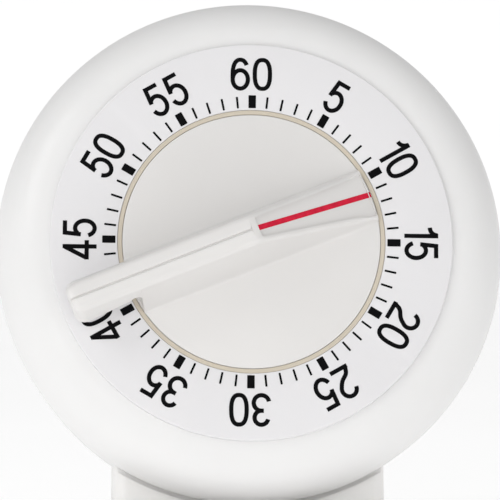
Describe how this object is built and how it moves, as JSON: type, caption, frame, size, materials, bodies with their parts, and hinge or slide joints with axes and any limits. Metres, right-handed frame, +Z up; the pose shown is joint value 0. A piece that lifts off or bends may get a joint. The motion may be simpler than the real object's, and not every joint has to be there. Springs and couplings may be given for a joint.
{
  "type": "mechanical lab timer",
  "caption": "Sixty-minute mechanical bench timer: a round leaning dial head with a long-tailed pointer knob, wind-up movement and gong inside, on a hollow pedestal with a foot plate.",
  "frame": {"origin": "on the table, on the middle plane, under the middle of the whole timer's outline, knob's tail included", "axes": "+Z up, +X to the viewer's right, the dial faces -Y"},
  "size_m": [0.1022, 0.072, 0.1076],
  "materials": {
    "casing_white": "satin moulded white plastic",
    "dial_white": "matte printed white plastic",
    "knob_white": "warm white moulded plastic",
    "ring_beige": "beige acetal",
    "pointer_red": "hot-stamped red",
    "foot_rubber": "grey-black rubber",
    "steel": "zinc-plated steel",
    "spring_steel": "blued spring steel",
    "brass": "rolled brass",
    "bell_steel": "nickel-plated bell steel"
  },
  "bodies": {
    "case": {"front_casing": "casing_white", "rear_cover": "casing_white", "pedestal": "casing_white", "base_plate": "casing_white", "dial_plate": "dial_white", "knob_seat_ring": "ring_beige", "rubber_feet": "foot_rubber", "casing_screws": "steel", "pedestal_screws": "steel", "base_screws": "steel", "movement_screws": "steel", "movement_front_plate": "brass", "movement_back_plate": "brass", "movement_pillars": "steel", "pillar_nuts": "steel", "stop_pin": "steel", "mainspring": "spring_steel", "spring_post": "steel", "hammer_post": "steel", "hammer_spring": "spring_steel", "gong": "bell_steel", "gong_post": "steel", "gong_nut": "steel"},
    "knob": {"knob": "knob_white", "pointer_line": "pointer_red", "knob_clip": "spring_steel", "main_arbor": "steel", "clutch_washer": "spring_steel", "main_wheel": "brass", "strike_cam": "steel"},
    "second": {"second_arbor": "steel", "second_wheel": "brass"},
    "third": {"third_arbor": "steel", "third_wheel": "brass"},
    "escape": {"escape_arbor": "steel", "escape_wheel": "brass"},
    "pallet": {"pallet_arbor": "steel", "pallet_lever": "brass", "pallet_pins": "steel", "inertia_bar": "brass"},
    "hammer": {"hammer_lever": "steel", "hammer_head": "brass"}
  },
  "joints": [
    {"name": "knob_turn", "type": "hinge", "parent": "case", "child": "knob", "pos_m": [0, -0.02, 0.0595], "axis": [0, 0.9816, -0.1908], "range_deg": [-68.5, 286.5], "deforming": ["mainspring"]},
    {"name": "second_turn", "type": "hinge", "parent": "case", "child": "second", "pos_m": [-0.01586, -0.00571, 0.04918], "axis": [0, 0.9816, -0.1908], "continuous": true},
    {"name": "third_turn", "type": "hinge", "parent": "case", "child": "third", "pos_m": [-0.00886, -0.00802, 0.03729], "axis": [0, 0.9816, -0.1908], "continuous": true},
    {"name": "escape_turn", "type": "hinge", "parent": "case", "child": "escape", "pos_m": [0.00232, -0.0088, 0.03329], "axis": [0, 0.9816, -0.1908], "continuous": true},
    {"name": "pallet_swing", "type": "hinge", "parent": "case", "child": "pallet", "pos_m": [0.0118, -0.0088, 0.03328], "axis": [0, 0.9816, -0.1908], "range_deg": [-4, 4]},
    {"name": "hammer_swing", "type": "hinge", "parent": "case", "child": "hammer", "pos_m": [0.024, 0.00089, 0.04118], "axis": [0, 0.9816, -0.1908], "range_deg": [-1.5, 6], "stiffness_Nm_per_rad": 0.03}
  ],
  "couplings": [
    {"joint": "second_turn", "follows": "knob_turn", "ratio": -6},
    {"joint": "third_turn", "follows": "knob_turn", "ratio": 36},
    {"joint": "escape_turn", "follows": "knob_turn", "ratio": -270}
  ]
}
